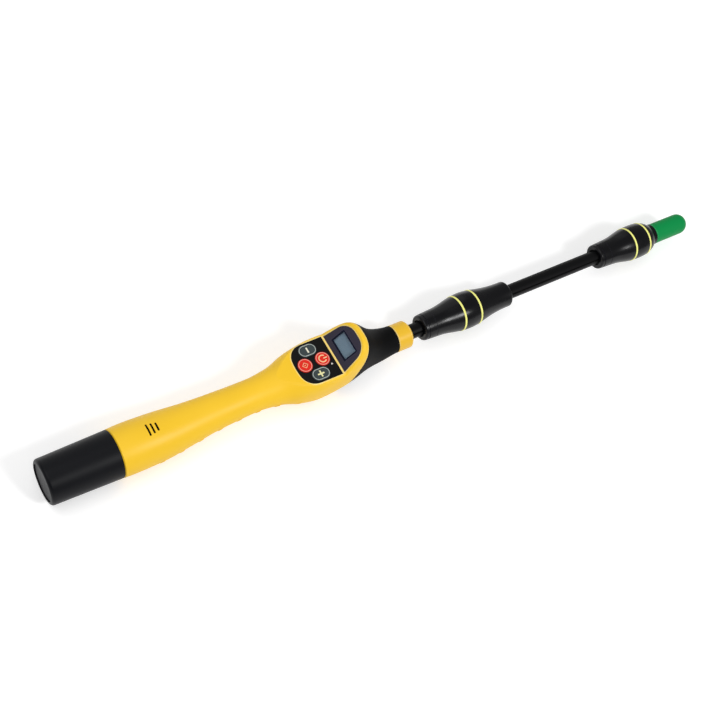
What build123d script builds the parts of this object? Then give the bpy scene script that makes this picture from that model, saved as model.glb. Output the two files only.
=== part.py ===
from build123d import *
import math
import os

# A straight hand-held sonde locator: battery cap, moulded handle with a keypad and display head, and a
# keyed wand with two coil sleeves that slides out of the head.
# Lengths are in millimetres. Pieces are drawn with X along the wand, measured from just inside the mouth of
# the battery cap, and with Y and Z measured from the wand's axis.

# Driving dimensions
ROD_RADIUS = 8.0
WALL = 2.6
RUNNING_FIT = 0.05
FLOOR = -30.0
FAR = 200.0

# Stations of the handle, head and neck outline: place along the wand, half width, top, bottom, height of
# the widest line, and squareness of the section, where 2 is an ellipse. The first and last lie beyond the
# ends, where the solid is cut off.
STATIONS = (
    (-15, 24.5, 20.7, -28.3, -3.8, 2.0),
    (0, 24.8, 21.0, -28.6, -3.8, 2.0),
    (14, 25.4, 21.5, -29.2, -3.8, 2.0),
    (45, 24.6, 20.1, -28.9, -4.3, 2.0),
    (75, 21.6, 18.6, -24.5, -3.0, 2.0),
    (105, 18.8, 19.0, -18.6, 0.2, 2.0),
    (150, 17.3, 19.6, -15.1, 2.2, 2.0),
    (175, 20.2, 22.6, -17.5, 2.6, 2.0),
    (198, 26.3, 28.8, -24.5, 4.5, 2.3),
    (220, 27.8, 36.0, -31.0, 7.0, 2.45),
    (243, 26.6, 45.0, -30.2, 10.5, 2.5),
    (265, 23.4, 51.0, -22.5, 15.0, 2.7),
    (280, 19.2, 36.0, -20.0, 8.0, 2.4),
    (298, 17.1, 20.8, -17.2, 1.5, 2.1),
    (319, 14.9, 14.9, -14.9, 0.0, 2.0),
    (335, 14.9, 14.9, -14.9, 0.0, 2.0),
)
OUTSIDE_DETAIL = dict(sections=30, points=20)
HOLLOW_DETAIL = dict(sections=21, points=12)

# Head faces: a level keypad face, then a display face that rises toward the hood
KEYPAD_HEIGHT = 22.5
HEAD_REAR = 150.0
DISPLAY_START = 240.6
DISPLAY_SLOPE = math.radians(48.5)
PANEL_DEPTH = 1.2
PANEL_CHAMFER = 0.35
PANEL_FIT = 0.08
RIM_RADIUS = 3.0
SEAM_AT_AXIS = 254.8
SEAM_LEAN = 0.324
SEAM_EDGE = 0.6
NECK_EDGE = 0.5
HANDLE_REAR = 1.6
REAR_EDGE = 1.0

# Keypad panel and keys
KEYPAD_REAR = 196.4
KEYPAD_FRONT = 238.6
KEYPAD_HALF_WIDTH = 23.2
KEYPAD_BOW = 4.5
KEYPAD_CORNER = 16.0
KEY_ROW = 217.5
KEY_SIDE = 14.5
OVAL_LENGTH = 19.6
OVAL_WIDTH = 13.4
ROUND_KEY_RADIUS = 7.7
POWER_KEY_X = 227.3
LOCATE_KEY_X = 207.0
KEY_CLEARANCE = 0.25
KEY_FLANGE = 0.55
KEY_FLANGE_THICKNESS = 0.9
KEY_PLAY = 0.2
KEY_PROUD = 0.7
KEY_EDGE = 0.5
KEY_TRAVEL = 0.8

# Display panel, window and module, measured up the display face
DISPLAY_LOW = 0.15
DISPLAY_HIGH = 32.4
DISPLAY_CROWN = 0.9
DISPLAY_LOW_HALF_WIDTH = 22.3
DISPLAY_HIGH_HALF_WIDTH = 17.6
DISPLAY_CORNER = 16.0
WINDOW_CENTRE = 14.8
WINDOW_LENGTH = 18.2
WINDOW_WIDTH = 27.8
WINDOW_CORNER = 0.8
WINDOW_LEDGE = 0.5
MODULE_GLASS_GAP = 0.7
MODULE_LENGTH = 21.0
MODULE_WIDTH = 31.0
MODULE_DEPTH = 4.0

# Battery cap, socket and cells, about an axis a little below the wand's
CAP_DROP = -3.8
CAP_LENGTH = 71.4
CAP_END_RADIUS = 23.3
CAP_MOUTH_RADIUS = 24.75
CAP_EDGE = 3.2
CAP_MOUTH_EDGE = 0.4
CAP_RECESS_RADIUS = 19.2
CAP_RECESS_DEPTH = 1.1
CAP_GAP = 0.25
CAP_END_WALL = 4.6
CAP_INNER_RADIUS = 20.3
SOCKET_RADIUS = 21.3
SOCKET_BORE = 18.6
SOCKET_LENGTH = 16.0
LUG_HEIGHT = 1.2
LUG_PLACE = -11.5
LUG_LENGTH = 3.0
LUG_WIDTH = 6.0
TRACK_CLEARANCE = 0.4
SOCKET_INSET = 8.0
REAR_WALL = 4.0
SOCKET_LIP = 2.5
CAP_TURN = 60.0
SEAL_PLACE = -5.0
SEAL_THICKNESS = 1.7
CELL_RADIUS = 7.25
CELL_LENGTH = 50.5
CELL_NUB = 1.0
CELL_NUB_RADIUS = 2.7
CELL_REAR = -59.5
CARRIER_RADIUS = 18.2
CARRIER_PLATE = 2.0
CARRIER_SPINE = 2.5
PIN_RADIUS = 1.5
PIN_SIDE = 9.0
SPRING_HALF_SPAN = 12.0
SPRING_WIDTH = 8.0
SPRING_THICKNESS = 0.6
CONTACT_BOARD_PLACE = 4.0
BOARD_THICKNESS = 1.6

# Speaker under the slots on top of the handle
SLOT_LENGTHS = (13.1, 11.4, 9.3)
SLOT_FIRST = 34.5
SLOT_PITCH = 4.6
SLOT_WIDTH = 2.0
SPEAKER_RADIUS = 14.0
SPEAKER_BASE = 9.0
SPEAKER_HEIGHT = 3.0
SPEAKER_RIM = 2.5
GASKET_THICKNESS = 1.0
MAGNET_RADIUS = 7.0
SPEAKER_TOP = SPEAKER_BASE + SPEAKER_HEIGHT
SPEAKER_PLACE = SLOT_FIRST + SLOT_PITCH

# Grip ribs under the handle
RIB_COUNT = 8
RIB_FIRST = 42.0
RIB_PITCH = 21.5
RIB_LENGTH = 4.6
RIB_DROP = 1.1
RIB_STEP = 0.25
RIB_EDGE = 0.7
RIB_SINK = 1.6

# Shell screws: place along the wand and distance from the middle
SCREW_PLACES = ((22.0, 17.5), (212.0, 19.0), (246.0, 18.2))
SCREW_RADIUS = 1.25
SCREW_HEAD_RADIUS = 2.35
SCREW_HEAD_HEIGHT = 2.2
SCREW_CLEARANCE = 0.25
SCREW_SEAT = -8.0
SCREW_REACH = 8.5
BOSS_RADIUS = 3.8
BOSS_TOP = 10.8
BOSS_WEB = 9.0
DRIVER_LENGTH = 3.2
DRIVER_WIDTH = 0.8

# Main board under the keypad
BOARD_REAR = 190.0
BOARD_FRONT = 240.0
BOARD_HALF_WIDTH = 16.5
BOARD_BASE = 11.6
BOARD_SCREW_PLACES = ((194.0, 12.0), (236.0, 12.0))
BOARD_SCREW_RADIUS = 1.0
BOARD_SCREW_HEAD = 1.9
BOARD_BOSS_RADIUS = 2.5
SWITCH_WIDTH = 6.0
SWITCH_PLUNGER = 0.6
SWITCH_PLUNGER_RADIUS = 1.7
LEAD_RADIUS = 1.2

# Guide for the wand: tube in the handle, bush in the neck, collet and lock collar at the nose
GUIDE_TUBE_REAR = 56.0
GUIDE_TUBE_RADIUS = 10.0
GUIDE_TUBE_BORE = 8.6
SADDLE_PLACES = (66.0, 120.0, 182.0, 240.0)
HOLD_DOWN_PLACES = (62.0, 140.0)
HOLD_DOWN_SIDE = 6.0
HOLD_DOWN_WIDTH = 4.0
RIB_THICKNESS = 2.5
NECK_FLARE_REAR = 230.0
NECK_FLARE_RADIUS = 19.0
BUSH_REAR = 292.0
BUSH_RADIUS = 12.4
SPIGOT_RADIUS = 11.2
NECK_FRONT = 318.3
COLLAR_REAR = 318.6
COLLAR_FRONT = 337.0
COLLAR_RADIUS = 14.9
COLLAR_CHAMFER = 2.0
COLLAR_REAR_CHAMFER = 0.5
COLLAR_NOSE = 1.2
COLLET_REAR = 329.3
COLLET_SLOTS = 3
COLLET_SLOT_WIDTH = 1.2
BUSH_KEY_LENGTH = 14.0

# Wand
ROD_REAR = 60.0
ROD_FRONT = 691.0
ROD_BORE = 6.0
STOP_LENGTH = 11.8
COILED_LEAD_RADIUS = 5.5
CABLE_RADIUS = 2.0
GROOVE_ANGLE = 52.0
GROOVE_WIDTH = 1.8
GROOVE_DEPTH = 1.2
SLEEVE_BORE = ROD_RADIUS + 0.03
RING_WIDTH = 2.4
RING_PROUD = 0.3
RING_GROOVE_RADIUS = 15.0
RING_EDGE = 0.6
COIL_CAVITY_RADIUS = 14.5
FORMER_RADIUS = 9.6
FORMER_FLANGE_RADIUS = 14.0
FORMER_FLANGE = 1.2
FORMER_GAP = 0.3
COIL_RADIUS = 13.2
SLEEVE_END_EDGE = 2.4
SLEEVE_MOUTH_RADIUS = 9.4
SLEEVE_MOUTH_DEPTH = 3.0
SLEEVE_COLLAR_RADIUS = 12.2
TIP_REAR = 682.4
TIP_FRONT = 734.0
TIP_RADIUS = 11.75
TIP_FLAT = 0.8
TIP_LIP_RADIUS = 12.1
TIP_LIP_LENGTH = 1.4

# Grooves round each sleeve behind its swelling: distance from the rear end, width and depth
SLEEVE_GROOVES = ((4.4, 1.0, 0.5), (14.0, 0.6, 0.25))

# Each sleeve runs from its rear end to its nose, is parted by two rings, and may reach on as a plain collar
FIRST_SLEEVE = dict(rear=353.0, nose=469.0, reach=469.0, edge=3.0,
                    rings=(401.2, 422.4), coil_ends=(6.0, 6.0))
SECOND_SLEEVE = dict(rear=596.3, nose=677.8, reach=TIP_REAR, edge=0.4,
                     rings=(644.2, 665.2), coil_ends=(6.0, 3.0))

# Outline of each sleeve between its ends, as place along the wand and radius
FIRST_OUTLINE = ((353, 13.9), (366, 14.8), (380, 15.8), (394, 18.4), (410, 20.3),
                 (424, 19.2), (436, 16.8), (449, 15.0), (469, 14.4))
SECOND_OUTLINE = ((596.3, 13.9), (609, 14.7), (624, 15.8), (638, 18.5), (654, 19.9),
                  (666, 18.9), (673, 16.5), (677.8, 12.9))

# Move from the drawing frame to the part's frame: middle of the length, on the floor
PART_SHIFT = Location(((CAP_LENGTH - TIP_FRONT) / 2, 0, -FLOOR))


def hermite_slopes(places, values):
    """Slopes of a smooth curve through the values that never overshoots them."""
    rates = []
    for index in range(len(places) - 1):
        rates.append((values[index + 1] - values[index]) / (places[index + 1] - places[index]))
    slopes = [rates[0]]
    for before, after in zip(rates, rates[1:]):
        slopes.append(2 * before * after / (before + after) if before * after > 0 else 0.0)
    slopes.append(rates[-1])
    return slopes


def station_at(place):
    """Half width, top, bottom, waist and squareness of the outline at one place along the wand."""
    places = [station[0] for station in STATIONS]
    index = max(i for i in range(len(places) - 1) if places[i] <= place or i == 0)
    span = places[index + 1] - places[index]
    u = (place - places[index]) / span
    result = []
    for column in range(1, len(STATIONS[0])):
        values = [station[column] for station in STATIONS]
        slopes = hermite_slopes(places, values)
        start = (2 * u**3 - 3 * u**2 + 1) * values[index] + (u**3 - 2 * u**2 + u) * span * slopes[index]
        end = (3 * u**2 - 2 * u**3) * values[index + 1] + (u**3 - u**2) * span * slopes[index + 1]
        result.append(start + end)
    return result


def section(place, inset, count):
    """Closed outline of the handle at one place, drawn in by the inset, through a count of points."""
    half_width, top, bottom, waist, power = station_at(place)
    points = []
    for index in range(count):
        angle = 2 * math.pi * index / count
        across = math.copysign(abs(math.cos(angle)) ** (2 / power), math.cos(angle))
        up = math.copysign(abs(math.sin(angle)) ** (2 / power), math.sin(angle))
        height = top - inset - waist if up >= 0 else waist - bottom - inset
        points.append(Vector(place, (half_width - inset) * across, waist + height * up))
    return Wire([Edge.make_spline(points, periodic=True)])


def side_prism(*points):
    """Prism across the whole width with an outline given as (x, z) points."""
    outline = [Vector(x, 0, z) for x, z in points]
    return extrude(make_face(Polyline(*outline, close=True)), amount=FAR, dir=(0, 1, 0), both=True)


def above_faces(depth=0.0):
    """Everything above the keypad face and the display face, both lowered by the depth."""
    rise, run = math.sin(DISPLAY_SLOPE), math.cos(DISPLAY_SLOPE)
    corner_x = DISPLAY_START + depth * math.tan(DISPLAY_SLOPE / 2)
    level = KEYPAD_HEIGHT - depth
    slope_end = (corner_x + FAR * run, level + FAR * rise)
    return side_prism((HEAD_REAR, level), (corner_x, level), slope_end, (HEAD_REAR, slope_end[1]))


def below(height):
    """Everything under a level plane."""
    return side_prism((-FAR, height), (2 * FAR, height), (2 * FAR, height - FAR), (-FAR, height - FAR))


def ahead_of_seam():
    """Everything in front of the leaning seam between the yellow shells and the black neck."""
    lean = SEAM_LEAN * FAR
    low, high = (SEAM_AT_AXIS - lean, -FAR), (SEAM_AT_AXIS + lean, FAR)
    return side_prism(low, (2 * FAR, -FAR), (2 * FAR, FAR), high)


def on_seam(edge):
    """Whether an edge lies in the plane of the leaning seam."""
    points = [edge @ share for share in (0, 0.3, 0.6, 1)]
    return all(abs(point.X - SEAM_AT_AXIS - SEAM_LEAN * point.Z) < 0.02 for point in points)


def slab(rear, front):
    """Everything between two places along the wand."""
    return Box(front - rear, FAR, FAR).moved(Location(((rear + front) / 2, 0, 0)))


def turned(*outline):
    """Solid of revolution about the wand's axis, from a closed outline of (x, radius) points."""
    points = [Vector(x, 0, radius) for x, radius in outline]
    return revolve(make_face(Polyline(*points, close=True)), Axis.X)


def tube(rear, front, outer, inner=0.0):
    """Plain tube or bar about the wand's axis."""
    return turned((rear, inner), (front, inner), (front, outer), (rear, outer))


def post(x, y, low, high, radius):
    """Upright cylinder."""
    return Cylinder(radius, high - low).moved(Location((x, y, (low + high) / 2)))


def mirrored_pair(solid):
    """A piece and its copy on the other side of the middle plane."""
    return [solid, mirror(solid, Plane.XZ)]


def on_cap_axis(solid):
    """The same piece, moved from the wand's axis to the cap's."""
    return solid.moved(Location((0, 0, CAP_DROP)))


def loft_body(inset, sections, points):
    """Smooth solid through evenly spaced sections of the outline."""
    first, last = STATIONS[0][0], STATIONS[-1][0]
    places = [first + (last - first) * index / (sections - 1) for index in range(sections)]
    return Solid.make_loft([section(place, inset, points) for place in places])


def outer_body():
    """Handle, head and neck as one solid, with the two head faces cut and their rim rounded."""
    body = loft_body(0.0, **OUTSIDE_DETAIL) & slab(HANDLE_REAR, NECK_FRONT)
    body = body - above_faces() - below(FLOOR)
    rim = [edge for edge in body.edges() if edge.bounding_box().min.Z > KEYPAD_HEIGHT - 0.1]
    body = fillet(rim, RIM_RADIUS)
    rear = [edge for edge in body.edges() if edge.bounding_box().max.X < HANDLE_REAR + 0.1]
    return chamfer(rear, REAR_EDGE)


def inner_body(inset):
    """The same outline drawn in by a distance: the hollow, or the middle of the wall where ribs end."""
    inner = loft_body(inset, **HOLLOW_DETAIL) & slab(0, NECK_FRONT)
    return inner - above_faces(PANEL_DEPTH + inset) - below(FLOOR + inset)


def grip_rib(place):
    """Low rib round the underside: a rounded band a little below the handle's middle, sunk into its wall."""
    rear, front = place - RIB_LENGTH / 2, place + RIB_LENGTH / 2
    rear_radius, front_radius = [(station_at(x)[1] - station_at(x)[2]) / 2 + RIB_STEP for x in (rear, front)]
    ring = turned((rear, rear_radius - RIB_SINK), (front, front_radius - RIB_SINK),
                  (front, front_radius), (rear, rear_radius))
    shortest_rim = 2 * math.pi * (min(rear_radius, front_radius) - RIB_SINK / 2)
    rim = [edge for edge in ring.edges() if edge.length > shortest_rim]
    middle = sum(station_at(place)[1:3]) / 2 - RIB_DROP
    ring = fillet(rim, RIB_EDGE).moved(Location((0, 0, middle)))
    return (ring & below(min(middle - 1, 0))) - below(FLOOR)


def keypad_outline(margin=0.0):
    """Keypad panel outline: bowed rear edge with rounded corners, straight front."""
    side = KEYPAD_HALF_WIDTH + margin
    rear = KEYPAD_REAR - margin
    corner = rear + KEYPAD_BOW
    front = KEYPAD_FRONT + margin
    outline = Polyline((corner, -side), (front, -side), (front, side), (corner, side))
    outline += ThreePointArc((corner, side), (rear, 0), (corner, -side))
    face = make_face(outline)
    return fillet(face.vertices().sort_by(Axis.X)[:2], KEYPAD_CORNER)


def display_plane():
    """Plane of the display face, with its X axis up the slope."""
    rise, run = math.sin(DISPLAY_SLOPE), math.cos(DISPLAY_SLOPE)
    return Plane(origin=(DISPLAY_START, 0, KEYPAD_HEIGHT), x_dir=(run, 0, rise), z_dir=(-rise, 0, run))


def display_outline(margin=0.0):
    """Display panel outline on the display face: narrowing sides and a round crown."""
    low = (DISPLAY_LOW - margin, DISPLAY_LOW_HALF_WIDTH + margin)
    high = (DISPLAY_HIGH + margin - DISPLAY_CROWN, DISPLAY_HIGH_HALF_WIDTH + margin)
    outline = Polyline((high[0], -high[1]), (low[0], -low[1]), low, high)
    crown = DISPLAY_HIGH + margin
    outline += ThreePointArc(high, (crown, 0), (high[0], -high[1]))
    face = make_face(outline)
    return fillet(face.vertices().sort_by(Axis.X)[-2:], DISPLAY_CORNER)


def window_outline(length, width):
    """Rectangle about the window's middle, on the display face."""
    return Pos(WINDOW_CENTRE, 0) * RectangleRounded(length, width, WINDOW_CORNER)


def on_display(face, top, bottom):
    """Plate on the display face, from one distance above the face to another."""
    plate = extrude(face, amount=top - bottom).moved(Location((0, 0, bottom)))
    return display_plane().location * plate


def level_plate(face, low, high):
    """Upright plate over a level outline."""
    return extrude(face, amount=high - low).moved(Location((0, 0, low)))


def chamfer_cut(outline):
    """Flared cut that breaks the edge round a pocket's mouth at height zero."""
    return extrude(outline, amount=2 * PANEL_CHAMFER, taper=-45).moved(Location((0, 0, -PANEL_CHAMFER)))


def panel_pockets():
    """Pockets for the keypad and display panels, each with a fine chamfer round its mouth."""
    keypad = level_plate(keypad_outline(), -PANEL_DEPTH, FAR)
    display = level_plate(display_outline(), -PANEL_DEPTH, FAR)
    on_keypad = Location((0, 0, KEYPAD_HEIGHT))
    pockets = [solid.moved(on_keypad) for solid in (keypad, chamfer_cut(keypad_outline()))]
    return pockets + [display_plane().location * solid for solid in (display, chamfer_cut(display_outline()))]


def key_face(name, margin=0.0):
    """Outline of one key on the keypad, grown by the margin."""
    if name == "power_key":
        return Pos(POWER_KEY_X, 0) * Circle(ROUND_KEY_RADIUS + margin)
    if name == "locate_key":
        return Pos(LOCATE_KEY_X, 0) * Circle(ROUND_KEY_RADIUS + margin)
    side = KEY_SIDE if name == "minus_key" else -KEY_SIDE
    return Pos(KEY_ROW, side) * SlotOverall(OVAL_LENGTH + 2 * margin, OVAL_WIDTH + 2 * margin)


KEY_NAMES = ("minus_key", "plus_key", "power_key", "locate_key")
CEILING = KEYPAD_HEIGHT - PANEL_DEPTH - WALL
FLANGE_TOP = CEILING - KEY_PLAY
FLANGE_BASE = FLANGE_TOP - KEY_FLANGE_THICKNESS
BOARD_TOP = BOARD_BASE + BOARD_THICKNESS


def key(name):
    """Key cap with a rounded top edge and a flange that keeps it under the shell."""
    cap = level_plate(key_face(name), FLANGE_TOP, KEYPAD_HEIGHT + KEY_PROUD)
    cap = fillet(cap.edges().group_by(Axis.Z)[-1], KEY_EDGE)
    return cap + level_plate(key_face(name, KEY_FLANGE), FLANGE_BASE, FLANGE_TOP)


def key_openings():
    """Ways for the keys through the keypad panel and the shell under it."""
    faces = [key_face(name, KEY_CLEARANCE) for name in KEY_NAMES]
    return [level_plate(face, CEILING - 1, KEYPAD_HEIGHT + FAR) for face in faces]


def screw_columns(core):
    """Screw bosses in both shells, each tied to the wall by a web and trimmed to the handle's outline."""
    web = Box(RIB_THICKNESS, BOSS_WEB, BOSS_TOP - FLOOR)
    columns = []
    for x, y in SCREW_PLACES:
        boss = post(x, y, FLOOR, BOSS_TOP, BOSS_RADIUS)
        tie = web.moved(Location((x, y + BOSS_WEB / 2, (BOSS_TOP + FLOOR) / 2)))
        columns += mirrored_pair(boss & core) + mirrored_pair(tie & core)
    return columns


def screw_holes():
    """Shank hole through both shells and a counterbore from below."""
    holes = []
    for x, y in SCREW_PLACES:
        holes += mirrored_pair(post(x, y, SCREW_SEAT - 1, SCREW_REACH + 1, SCREW_RADIUS))
        holes += mirrored_pair(post(x, y, FLOOR - 5, SCREW_SEAT, SCREW_HEAD_RADIUS + SCREW_CLEARANCE))
    return holes


def shell_screws():
    """Six screws with cross recesses that hold the two shells together."""
    base = SCREW_SEAT - SCREW_HEAD_HEIGHT
    cross = Box(DRIVER_LENGTH, DRIVER_WIDTH, SCREW_HEAD_HEIGHT)
    cross = cross + cross.rotate(Axis.Z, 90)
    screws = []
    for x, y in SCREW_PLACES:
        head = post(x, y, base, SCREW_SEAT, SCREW_HEAD_RADIUS)
        shank = post(x, y, SCREW_SEAT, SCREW_REACH, SCREW_RADIUS)
        screws += mirrored_pair(head + shank - cross.moved(Location((x, y, base))))
    return screws


def rear_wall(core):
    """Wall at the handle's rear end that holds the battery socket."""
    return (slab(HANDLE_REAR, REAR_WALL) & core) - on_cap_axis(tube(-5, 10, SOCKET_RADIUS))


def guide_way():
    """Room for the guide tube along the whole handle."""
    return tube(0, 2 * FAR, GUIDE_TUBE_RADIUS)


def guide_saddles(lower_core):
    """Ribs across the lower shell that carry the guide tube."""
    saddles = []
    for place in SADDLE_PLACES:
        rib = slab(place - RIB_THICKNESS / 2, place + RIB_THICKNESS / 2) & lower_core
        saddles.append(rib - guide_way())
    return saddles


def hold_downs(core):
    """Pairs of narrow ribs of the upper shell that press on the guide tube, with the lead between them."""
    ribs = []
    for place in HOLD_DOWN_PLACES:
        leg = Box(RIB_THICKNESS, HOLD_DOWN_WIDTH, FAR)
        leg = leg.moved(Location((place, HOLD_DOWN_SIDE, (FAR + GUIDE_TUBE_RADIUS) / 2)))
        ribs += mirrored_pair((leg & core) - guide_way())
    return ribs


def board_bosses():
    """Posts under the keypad that carry the main board."""
    bosses = []
    for x, y in BOARD_SCREW_PLACES:
        boss = post(x, y, BOARD_TOP, CEILING + 1, BOARD_BOSS_RADIUS)
        bosses += mirrored_pair(boss - post(x, y, BOARD_TOP, CEILING - 1, BOARD_SCREW_RADIUS))
    return bosses


def speaker_cup(core):
    """Ring under the slots that holds the speaker."""
    return post(SPEAKER_PLACE, 0, SPEAKER_BASE - 1, 30, SPEAKER_RADIUS + 2) & core


def speaker_seat():
    """Room for the speaker and its gasket inside the cup."""
    return post(SPEAKER_PLACE, 0, SPEAKER_BASE - 5, SPEAKER_TOP + GASKET_THICKNESS, SPEAKER_RADIUS + 0.1)


def speaker_slots():
    """Three slots over the speaker, each shorter than the one behind it."""
    slots = []
    for index, length in enumerate(SLOT_LENGTHS):
        face = Pos(SLOT_FIRST + SLOT_PITCH * index, 0) * Rot(0, 0, 90) * SlotOverall(length, SLOT_WIDTH)
        slots.append(level_plate(face, SPEAKER_TOP, FAR))
    return slots


def neck_bore():
    """Flared way through the neck, narrowing to the seat of the front bush."""
    seat = BUSH_REAR - 6
    return turned((NECK_FLARE_REAR, 0), (2 * FAR, 0), (2 * FAR, BUSH_RADIUS), (seat, BUSH_RADIUS),
                  (NECK_FLARE_REAR, NECK_FLARE_RADIUS))


def shells():
    """Upper and lower handle shells and the neck, cut from one outline."""
    body = outer_body()
    hollow = inner_body(WALL)
    core = inner_body(WALL / 2) - ahead_of_seam()
    yellow = body - ahead_of_seam()
    yellow = fillet([edge for edge in yellow.edges() if on_seam(edge)], SEAM_EDGE)
    lower_half = below(0)
    inside = [rear_wall(core)] + screw_columns(core)
    window_way = on_display(window_outline(WINDOW_LENGTH - 2 * WINDOW_LEDGE, WINDOW_WIDTH - 2 * WINDOW_LEDGE),
                            1, -PANEL_DEPTH - WALL - 1)

    upper = (yellow - lower_half) - (hollow - lower_half)
    upper += [piece - lower_half for piece in inside] + hold_downs(core)
    upper += board_bosses() + [speaker_cup(core)]
    upper -= [speaker_seat()] + speaker_slots() + screw_holes()
    upper -= key_openings() + panel_pockets() + [window_way]

    lower = (yellow & lower_half) - (hollow & lower_half)
    lower += [grip_rib(RIB_FIRST + RIB_PITCH * index) for index in range(RIB_COUNT)]
    lower += [piece & lower_half for piece in inside] + guide_saddles(core & lower_half)
    lower -= screw_holes()

    neck = body & ahead_of_seam()
    neck = chamfer([edge for edge in neck.edges() if on_seam(edge)], NECK_EDGE) - neck_bore()
    return upper, lower, neck


def battery_cap():
    """Slightly tapered cap with a shallow disc sunk in its end and a bayonet track in its mouth."""
    end = -CAP_LENGTH
    mouth = HANDLE_REAR - CAP_GAP
    cap = turned((end, 0), (mouth, 0), (mouth, CAP_MOUTH_RADIUS - CAP_MOUTH_EDGE),
                 (mouth - CAP_MOUTH_EDGE, CAP_MOUTH_RADIUS), (end, CAP_END_RADIUS))
    cap = fillet(cap.edges().sort_by(Axis.X)[0], CAP_EDGE)
    cap = cap - tube(end - 1, end + CAP_RECESS_DEPTH, CAP_RECESS_RADIUS)
    cap = cap - tube(end + CAP_END_WALL, mouth, CAP_INNER_RADIUS)
    cap = cap - tube(-SOCKET_LENGTH - 2, mouth, SOCKET_RADIUS + 2 * RUNNING_FIT)
    track_radius = SOCKET_RADIUS + LUG_HEIGHT + TRACK_CLEARANCE
    track_rear = LUG_PLACE - LUG_LENGTH / 2 - TRACK_CLEARANCE
    track_front = LUG_PLACE + LUG_LENGTH / 2 + TRACK_CLEARANCE
    entry = tube(track_rear, mouth, track_radius) & Box(FAR, FAR, LUG_WIDTH + 3)
    cap = cap - tube(track_rear, track_front, track_radius) - entry.rotate(Axis.X, -CAP_TURN)
    return on_cap_axis(cap)


def cap_socket():
    """Ring held in the handle's rear wall, with a seal groove and two bayonet lugs."""
    ring = tube(-SOCKET_LENGTH, SOCKET_INSET, SOCKET_RADIUS, SOCKET_BORE)
    ring = ring + tube(REAR_WALL, REAR_WALL + SOCKET_LIP, SOCKET_RADIUS + 0.5, SOCKET_BORE)
    half = SEAL_THICKNESS / 2 + 0.3
    floor_radius = SOCKET_RADIUS + RUNNING_FIT - SEAL_THICKNESS
    ring = ring - tube(SEAL_PLACE - half, SEAL_PLACE + half, SOCKET_RADIUS + 5, floor_radius)
    lug_rear, lug_front = LUG_PLACE - LUG_LENGTH / 2, LUG_PLACE + LUG_LENGTH / 2
    lugs = tube(lug_rear, lug_front, SOCKET_RADIUS + LUG_HEIGHT, SOCKET_BORE)
    return on_cap_axis(ring + (lugs & Box(FAR, FAR, LUG_WIDTH)))


def socket_seal():
    """Rubber ring in the socket's groove."""
    radius = SEAL_THICKNESS / 2
    ring = Torus(SOCKET_RADIUS + RUNNING_FIT - radius, radius).rotate(Axis.Y, 90)
    return on_cap_axis(ring.moved(Location((SEAL_PLACE, 0, 0))))


def battery_cells():
    """Four AA cells in a square, each with a small positive cap."""
    spread = CELL_RADIUS + 0.15
    cells = []
    for across in (-spread, spread):
        for up in (-spread, spread):
            cell = tube(CELL_REAR, CELL_REAR + CELL_LENGTH - CELL_NUB, CELL_RADIUS)
            cell = cell + tube(CELL_REAR, CELL_REAR + CELL_LENGTH, CELL_NUB_RADIUS)
            cells.append(on_cap_axis(cell.moved(Location((0, across, up)))))
    return cells


def battery_carrier():
    """Two end plates on a middle spine."""
    front = CELL_REAR + CELL_LENGTH
    carrier = tube(CELL_REAR - CARRIER_PLATE, CELL_REAR, CARRIER_RADIUS)
    carrier = carrier + tube(front, front + CARRIER_PLATE, CARRIER_RADIUS)
    return on_cap_axis(carrier + tube(CELL_REAR, front, CARRIER_SPINE))


def contact_pins():
    """Two pins that carry the current from the carrier to the contact board."""
    rear = CELL_REAR + CELL_LENGTH + CARRIER_PLATE
    pin = tube(rear, CONTACT_BOARD_PLACE, PIN_RADIUS).moved(Location((0, PIN_SIDE, 0)))
    return [on_cap_axis(solid) for solid in mirrored_pair(pin)]


def contact_board():
    """Round board that closes the socket."""
    return on_cap_axis(tube(CONTACT_BOARD_PLACE, CONTACT_BOARD_PLACE + BOARD_THICKNESS, SOCKET_BORE - 0.1))


def carrier_spring():
    """Bowed leaf in the end of the cap that presses the carrier forward."""
    base = -CAP_LENGTH + CAP_END_WALL
    crest = CELL_REAR - CARRIER_PLATE - 0.4
    foot = base + SPRING_THICKNESS
    outside = ThreePointArc((foot, -SPRING_HALF_SPAN), (crest, 0), (foot, SPRING_HALF_SPAN))
    inside = ThreePointArc((base, -SPRING_HALF_SPAN), (crest - SPRING_THICKNESS, 0), (base, SPRING_HALF_SPAN))
    ends = Line(outside @ 0, inside @ 0) + Line(outside @ 1, inside @ 1)
    return on_cap_axis(extrude(make_face(outside + inside + ends), amount=SPRING_WIDTH / 2, both=True))


def speaker():
    """Thin round speaker with a magnet behind it."""
    frame = post(SPEAKER_PLACE, 0, SPEAKER_BASE, SPEAKER_TOP, SPEAKER_RADIUS)
    dish = post(SPEAKER_PLACE, 0, SPEAKER_BASE + 1.2, SPEAKER_TOP, SPEAKER_RADIUS - SPEAKER_RIM)
    return frame - dish + post(SPEAKER_PLACE, 0, SPEAKER_BASE - 2, SPEAKER_BASE, MAGNET_RADIUS)


def speaker_gasket():
    """Soft ring between the speaker's rim and the shell."""
    top = SPEAKER_TOP + GASKET_THICKNESS
    ring = post(SPEAKER_PLACE, 0, SPEAKER_TOP, top, SPEAKER_RADIUS)
    return ring - post(SPEAKER_PLACE, 0, SPEAKER_TOP, top, SPEAKER_RADIUS - SPEAKER_RIM)


def keypad_panel():
    """Plate in the level pocket, open over the keys."""
    panel = level_plate(keypad_outline(-PANEL_FIT), KEYPAD_HEIGHT - PANEL_DEPTH, KEYPAD_HEIGHT)
    return panel - key_openings()


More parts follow.
